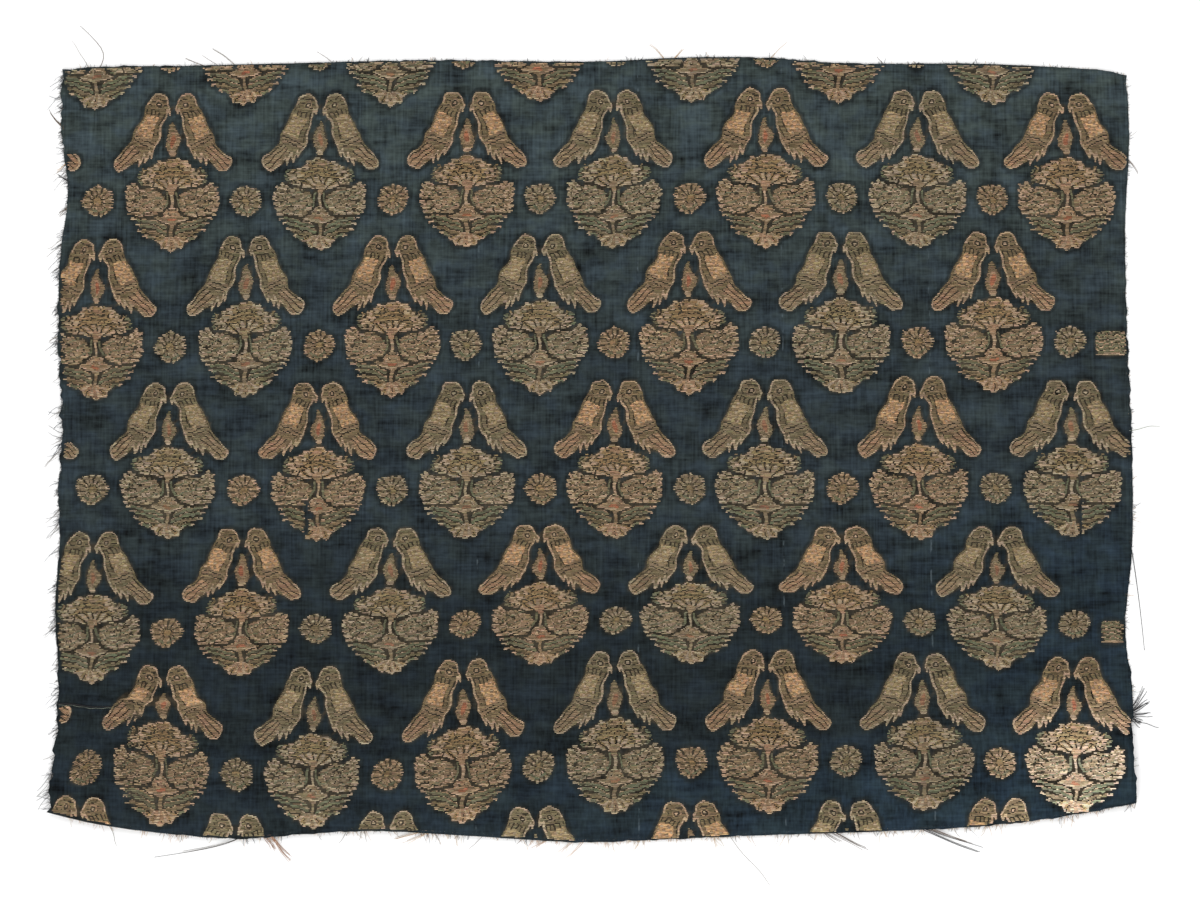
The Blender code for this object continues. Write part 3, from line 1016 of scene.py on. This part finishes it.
# %% Colours of the yarns
YARNS = {
    PALE: linear(172, 151, 125),
    BEIGE: linear(141, 122, 96),
    OLIVE: linear(122, 108, 82),
    SAGE: linear(113, 112, 88),
    GOLD: linear(146, 124, 90),
}
TINTED = {
    WARM: (linear(152, 128, 100), linear(158, 131, 104)),
    RUST: (linear(154, 112, 86), linear(160, 108, 82)),
    WING: (linear(164, 142, 107), linear(190, 156, 117)),
}
RUDDY = (0.09, -0.01, -0.05)
PAINTED_SHEEN_TINT = (-0.08, 0.02, 0.16)
UNEVEN = 0.32
# Painted light and shade on the floats by height: brighter in the bottom row, darker across the lower
# middle.
PAINTED_LIGHT_BY_HEIGHT = {"up": (-195, -170, -120, -95, -40, 60, 200),
        "bright": (1.12, 0.84, 0.92, 0.80, 0.90, 0.94, 0.95)}
PAINTED_SHEEN_GAIN = 1.50


def yarn_colours(laid, y):
    """One colour a float, uneven as old silk is, with painted light and shade by height on the cloth and a
    painted sheen at the lower right.
    """
    colours = np.zeros((len(laid), 3))
    for yarn, colour in YARNS.items():
        colours[laid[:, 3] == yarn] = colour
    for yarn, (plain, warm) in TINTED.items():
        chosen = laid[:, 3] == yarn
        share = laid[chosen, 4][:, None]
        colours[chosen] = np.array(plain) * (1 - share) + np.array(warm) * share
    colours *= 1.0 + (laid[:, 4:5] - 0.4) * np.array(RUDDY)
    x = laid[:, :2].mean(axis=1)
    painted_light = np.interp(y, PAINTED_LIGHT_BY_HEIGHT["up"], PAINTED_LIGHT_BY_HEIGHT["bright"])
    # A painted sheen: the floats at the lower right are made brighter and bluer.
    painted_sheen = np.clip((x - 190) / 50, 0, 1) * np.clip((-120 - y) / 40, 0, 1)
    painted_light *= 1.0 + PAINTED_SHEEN_GAIN * painted_sheen
    colours *= 1.0 + painted_sheen[:, None] * np.array(PAINTED_SHEEN_TINT)
    gain = painted_light * (1 + draw.uniform(-1, 1, len(laid)) * UNEVEN)
    hue = 1 + draw.uniform(-0.06, 0.06, (len(laid), 3))
    return np.clip(colours * gain[:, None] * hue, 0, 1)


print("yarns:", len(YARNS), "plain and", len(TINTED), "that are ruddier in every second unit")


# %% Join the copies of one row of the pattern
FLOAT_WIDE = 0.69
FLOAT_HIGH = 0.34
FLOAT_SUNK = 0.06


def joined_mesh(name, points, faces, copies, colours):
    """One mesh of many copies of a few faces, with a colour for each copy."""
    size = len(points) // copies
    starts_of_copy = np.arange(copies)[:, None] * size
    corners = np.concatenate([np.array(face) for face in faces])
    lengths = np.array([len(face) for face in faces])
    mesh = bpy.data.meshes.new(name)
    mesh.vertices.add(len(points))
    mesh.vertices.foreach_set("co", points.ravel())
    mesh.loops.add(copies * len(corners))
    mesh.loops.foreach_set("vertex_index", (starts_of_copy + corners[None]).ravel())
    mesh.polygons.add(copies * len(faces))
    first = np.concatenate([[0], np.cumsum(lengths)[:-1]])
    starts = np.arange(copies)[:, None] * len(corners) + first[None]
    mesh.polygons.foreach_set("loop_start", starts.ravel())
    mesh.update(calc_edges=True)
    yarn = mesh.attributes.new("yarn", "FLOAT_COLOR", "POINT")
    opaque = np.column_stack([colours, np.ones(copies)])
    yarn.data.foreach_set("color", np.repeat(opaque, size, axis=0).ravel())
    piece = bpy.data.objects.new(name, mesh)
    scene.collection.objects.link(piece)
    return piece


def float_row(row):
    laid = floats[row]
    middle = laid[:, :2].mean(axis=1)
    long = (laid[:, 1] - laid[:, 0]) * 1.06 + 0.1
    wide = FLOAT_WIDE * draw.uniform(0.85, 1.15, len(laid))
    x = middle[:, None] + long[:, None] * float_points[None, :, 0]
    y = weft_line(row, x, laid[:, 2][:, None] + draw.uniform(-0.08, 0.08, (len(laid), 1)))
    colours = yarn_colours(laid, y.mean(axis=1))
    y = y + wide[:, None] * float_points[None, :, 1]
    high = FLOAT_HIGH * draw.uniform(0.8, 1.25, (len(laid), 1))
    z = top_side(x, y) - FLOAT_SUNK + high * (float_points[None, :, 2] + 0.5)
    points = np.stack([x, y, z], axis=2).reshape(-1, 3) * MM
    return joined_mesh(f"brocading_{row}", points, float_faces, len(laid), colours)


brocading = [float_row(row) for row in range(len(ROWS))]
print("triangles:", [8 * len(row) for row in floats], "in all", 8 * sum(map(len, floats)))

# %% Finish of the floats
floss = Finish("brocading_silk", Roughness=0.6, Specular_IOR_Level=0.12)
hair = floss.streaks(0.0022, 0.00035, 2.0)
dyed = floss.shaded(floss.own_value("yarn", "Color"), 0.72 + 0.56 * hair)
floss.connect(Base_Color=dyed, Normal=floss.bump(hair, 0.00012, 0.6))
for piece in brocading:
    piece.data.materials.append(floss.material)
print("nodes in the floats' finish:", len(floss.tree.nodes))

# %% [markdown]
# ## Loose threads
# Where the cloth was cut, warp and weft have slipped out of the weave. Most are a millimetre
# or two long, and a few long ones trail over the table. One strand is modelled as a thin
# square rod with rings to bend it at. Each copy follows its own curve and thins to its tip.

# %% Model one strand of silk
def model_strand(rings):
    """A unit rod along Z: its points, its faces and the ring that each point belongs to."""
    nothing_selected()
    bpy.ops.mesh.primitive_circle_add(vertices=4, radius=1.0, fill_type="NGON")
    rod = bpy.context.object
    bpy.ops.object.mode_set(mode="EDIT")
    bpy.ops.mesh.select_all(action="SELECT")
    for _ in range(rings - 1):
        bpy.ops.mesh.extrude_region_move(TRANSFORM_OT_translate={"value": (0, 0, 1 / (rings - 1))})
    bpy.ops.mesh.select_all(action="SELECT")
    bpy.ops.mesh.normals_make_consistent(inside=False)
    bpy.ops.object.mode_set(mode="OBJECT")
    points = np.array([vertex.co for vertex in rod.data.vertices])
    faces = [list(face.vertices) for face in rod.data.polygons]
    bpy.data.objects.remove(rod)
    return points, faces, np.rint(points[:, 2] * (rings - 1)).astype(int)


print("one strand has", len(model_strand(8)[1]), "faces")

# %% Tables of the long threads, and colours
LONG_THREADS = {   # root, tip, reach, bow, strands, colour
    "top": ((-269, -279, 15, 2, 1, "grey"), (-264, -275, 23, 13, 1, "brown"),
            (-206, -219, 4, 0, 2, "brown"), (-200, -210, 5.5, 1, 1, "brown"),
            (-191, -203, 9, 1, 2, "grey"), (-140, -149, 6, 1, 1, "brown"),
            (35, 26, 8, 1, 2, "tan"), (38, 44, 5, 1, 2, "tan"), (89, 98, 9, 0, 1, "tan"),
            (150, 146, 4, 0, 1, "brown")),
    "bottom": ((-252, -248, 10, 1, 1, "grey"), (-184, -228, 13, 17, 1, "ink"),
               (-183, -214, 9, 10, 2, "grey"),
               (-172, -167, 7, 0, 6, "rust"), (-169, -160, 12, 0, 7, "rust"),
               (-90, -104, 4, 0, 3, "tan"), (-86, -100, 5.5, 0, 3, "tan"), (-59, -67, 7, 0, 1, "grey"),
               (-26, -34, 4, 0, 3, "pink"), (-13, -21, 6.5, 0, 2, "pink"), (-8, -16, 8, 0, 2, "pink"),
               (66, 88, 26, -2, 1, "grey"), (114, 122, 5, 0, 3, "brown"), (118, 136, 9, -1, 4, "brown"),
               (164, 195, 12.5, -2, 3, "ink"), (168, 190, 8.5, -2, 3, "brown"), (238, 244, 4, 0, 1, "tan")),
    "left": ((-157, -160, 6, 0, 1, "grey"), (3, -9, 8, 0, 2, "grey"), (60, 57, 5, 0, 2, "grey"),
             (128, 123, 4, 0, 4, "brown"), (141, 146, 5, 0, 3, "ink"), (152, 146, 5, 0, 2, "tan"),
             (170, 178, 6, -1, 4, "brown")),
    "right": ((154, 146, 6, 1, 2, "brown"), (10, 13, 15, 0, 1, "green"), (-48, -104, 9.5, 12, 1, "ink"),
              (-134, -124, 7, -3, 4, "ink"), (-136, -131, 9, 0, 4, "ink"), (-138, -136, 10, 1, 3, "ink"),
              (-138, -142, 5, 0, 6, "ink"),
              (-140, -143, 14, 0, 1, "ink")),
}
STRAND_TONES = {
    "ink": linear(44, 44, 46), "brown": linear(92, 74, 58), "rust": linear(160, 122, 96),
    "tan": linear(184, 156, 124), "grey": linear(132, 126, 118), "pink": linear(200, 172, 152),
    "pale": linear(206, 194, 174), "green": linear(150, 156, 140), "navy": linear(40, 50, 60),
}
FRAY = {   # hairs in each millimetre, usual reach, longest reach, colours
    "top": (1.1, 0.7, 3.0, ("navy", "navy", "ink", "grey", "tan")),
    "bottom": (2.6, 1.5, 6.0, ("navy", "tan", "pink", "pale", "brown")),
    "left": (3.4, 2.0, 7.5, ("navy", "ink", "ink", "grey", "navy")),
    "right": (1.2, 0.8, 4.5, ("navy", "ink", "grey", "green", "tan")),
}
PINK_PATCHES = ((-285, -238), (-34, 24), (30, 66), (198, 232))
HAIR_THIN, HAIR_THICK = 0.07, 0.15
HANGING = 0.7   # how far the left edge's hairs lean down the cloth, for each mm of reach
LONG_RINGS, HAIR_RINGS = 9, 5
ROOT_DEEP = 1.2
print("long threads:", {edge: len(rows) for edge, rows in LONG_THREADS.items()})


# %% Bend copies of the strand along each edge
def place(edge, along, out):
    """The plan position of a point given along an edge and out from the middle."""
    across, up = {"top": (along, out), "bottom": (along, -out),
                  "left": (-out, along), "right": (out, along)}[edge]
    return np.stack([across, up], axis=-1)


def bend_of(edge, rows, rings):
    """Rows of (root, tip, reach, bow) turned into curves: plan points and heights."""
    root, tip, reach, bow = (column[:, None] for column in np.array(rows, float).T)
    t = np.linspace(0, 1, rings)[None]
    start = outline(edge, root) - ROOT_DEEP
    end = outline(edge, tip) + reach
    middle = (root + tip) / 2 + bow
    sway = reach * 0.05 * np.sin(t * 7 + root) * t
    along = (1 - t) ** 2 * root + 2 * t * (1 - t) * middle + t * t * tip + sway
    out = (1 - t) ** 2 * start + t * (1 - t) * (start + end) + t * t * end
    plan = place(edge, along, out)
    high = underside(plan[..., 0], plan[..., 1]) * (1 - t) ** 2 + 0.30 - 0.12 * t
    return plan, high + 0.35 * (1 - t) ** 2


def strands(name, plan, high, radii, tones):
    """One mesh of the model strand bent along many curves, given as plan points and heights."""
    rings = plan.shape[1]
    points, faces, ring = model_strand(rings)
    run = np.gradient(plan, axis=1)
    run /= np.linalg.norm(run, axis=2, keepdims=True) + 1e-9
    side = np.stack([-run[..., 1], run[..., 0]], axis=-1)
    thin = np.array(radii)[:, None] * np.linspace(1.0, 0.45, rings)[None]
    spread = (thin[:, ring] * points[None, :, 0])[..., None]
    bent = np.zeros((len(plan), len(points), 3))
    bent[..., :2] = plan[:, ring] + side[:, ring] * spread
    bent[..., 2] = high[:, ring] + thin[:, ring] * points[None, :, 1]
    return joined_mesh(name, bent.reshape(-1, 3) * MM, faces, len(plan), np.array(tones))


def fraying(edge):
    """The edge's long threads and its short hairs, as two meshes."""
    rows, radii, tones = [], [], []
    for root, tip, reach, bow, count, tone in LONG_THREADS[edge]:
        for _ in range(count):
            spread = draw.uniform(-0.7, 0.7, 3) * min(count - 1, 2)
            rows.append((root + spread[0], tip + 1.5 * spread[1], reach * (1 + 0.12 * spread[2]), bow))
            radii.append(draw.uniform(0.12, 0.18) * (1.5 if tone == "ink" else 1.0))
            tones.append(np.array(STRAND_TONES[tone]) * draw.uniform(0.8, 1.2))
    long = strands(f"threads_{edge}", *bend_of(edge, rows, LONG_RINGS), radii, tones)
    dense, usual, longest, colours = FRAY[edge]
    first, last = OUTLINE[edge][0][0] + 1, OUTLINE[edge][-1][0] - 1
    roots = draw.uniform(first, last, int(dense * (last - first)))
    clump = 0.6 + 0.5 * np.sin(roots / 7.3) + 0.5 * np.sin(roots / 2.9 + 1)
    reach = np.minimum(0.3 + draw.exponential(usual, len(roots)) * np.maximum(clump, 0.1), longest)
    hang = HANGING if edge == "left" else 0.0
    tips = roots + (draw.normal(0, 0.5, len(roots)) - hang) * (0.4 + reach)
    bows = draw.normal(0, 0.25, len(roots)) * reach
    tones = []
    for root in roots:
        pinkish = edge == "bottom" and any(low < root < high for low, high in PINK_PATCHES)
        tone = draw.choice(("pink", "tan", "pale")) if pinkish else draw.choice(colours)
        tones.append(np.array(STRAND_TONES[str(tone)]) * draw.uniform(0.75, 1.2))
    rows = np.column_stack([roots, np.clip(tips, first, last), reach, bows])
    radii = draw.uniform(HAIR_THIN, HAIR_THICK, len(roots))
    return long, strands(f"hairs_{edge}", *bend_of(edge, rows, HAIR_RINGS), radii, tones)


fringe = {edge: fraying(edge) for edge in OUTLINE}


def tear_shadow_and_strands():
    """A dark strand laid in the open tear as a painted shadow, and pale broken ones along its lower lip."""
    plan, radii, tones = [], [], []
    starts = (-279.5, -278.5, -271, -264, -256)
    ends = (-243.5, -269, -262, -253, -245)
    for index, (start, end) in enumerate(zip(starts, ends)):
        x = np.linspace(start, end, 17)
        below = 0.0 if index == 0 else 0.75 + 0.15 * np.sin(x)
        plan.append(np.column_stack([x, tear_line(x) - below]))
        # The first strand, thick and dark, is a painted shadow that fills the gap of the tear.
        radii.append(0.5 if index == 0 else 0.17)
        tones.append(np.array(STRAND_TONES["ink" if index == 0 else "green"]) * 0.5)
    plan = np.array(plan)
    high = top_side(plan[..., 0], plan[..., 1]) - 0.15
    high[0] += 0.1
    return strands("tear_shadow_and_strands", plan, high, radii, tones)


tear_shadow_and_silk = tear_shadow_and_strands()
print("strand pieces:", [piece.name for pair in fringe.values() for piece in pair])

# %% Finish of the strands
loose = Finish("loose_silk_strands", Roughness=0.6, Specular_IOR_Level=0.15)
twist = loose.streaks(0.0006, 0.0006, 1.0)
loose.connect(Base_Color=loose.shaded(loose.own_value("yarn", "Color"), 0.75 + 0.5 * twist))
strand_pieces = [piece for pair in fringe.values() for piece in pair] + [tear_shadow_and_silk]
for piece in strand_pieces:
    piece.data.materials.append(loose.material)
print("nodes in the strands' finish:", len(loose.tree.nodes))

# %% Hang everything on the frame
for edge, pair in fringe.items():
    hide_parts(f"frayed_{edge}")
for piece in strand_pieces:
    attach(piece, BODY)
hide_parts("panel")
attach(ground, BODY)
for piece in brocading:
    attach(piece, BODY)
brocading + strand_pieces
print("pieces that lie with the ground:", len(brocading) + len(strand_pieces))
